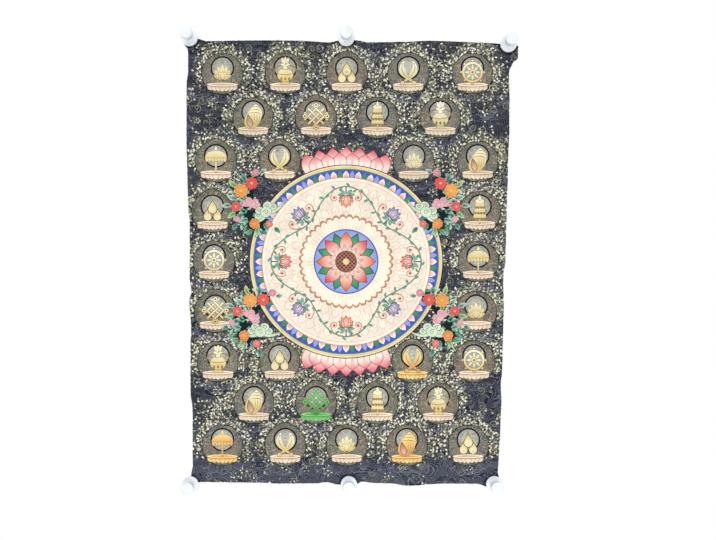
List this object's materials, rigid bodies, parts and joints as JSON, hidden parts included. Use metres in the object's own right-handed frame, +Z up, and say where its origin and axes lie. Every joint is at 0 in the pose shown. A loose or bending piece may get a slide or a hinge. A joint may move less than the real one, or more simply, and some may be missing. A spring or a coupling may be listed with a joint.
{
  "type": "thangka painting with magnets",
  "caption": "Unmounted thangka: one painted cotton sheet with raw cut edges, held flat on a wall by spool-shaped magnets at its corners and middles.",
  "frame": {"origin": "middle of the cloth's top edge, on the plane of the wall that it hangs against", "axes": "+Z up along the cloth's height, +X to the right of someone who looks at the painting, -Y out of the painted face"},
  "size_m": [0.4823, 0.0268, 0.662],
  "materials": {
    "painted_cotton": "matt distemper paint on sized plain-weave cotton, near-black navy ground with pale gold and coloured painting",
    "white_plastic": "smooth moulded, satin gloss"
  },
  "bodies": {
    "root": {"painted_cloth": "painted_cotton", "magnet_top_left": "white_plastic", "magnet_top_middle": "white_plastic", "magnet_top_right": "white_plastic", "magnet_bottom_left": "white_plastic", "magnet_bottom_middle": "white_plastic", "magnet_bottom_right": "white_plastic"}
  },
  "joints": []
}
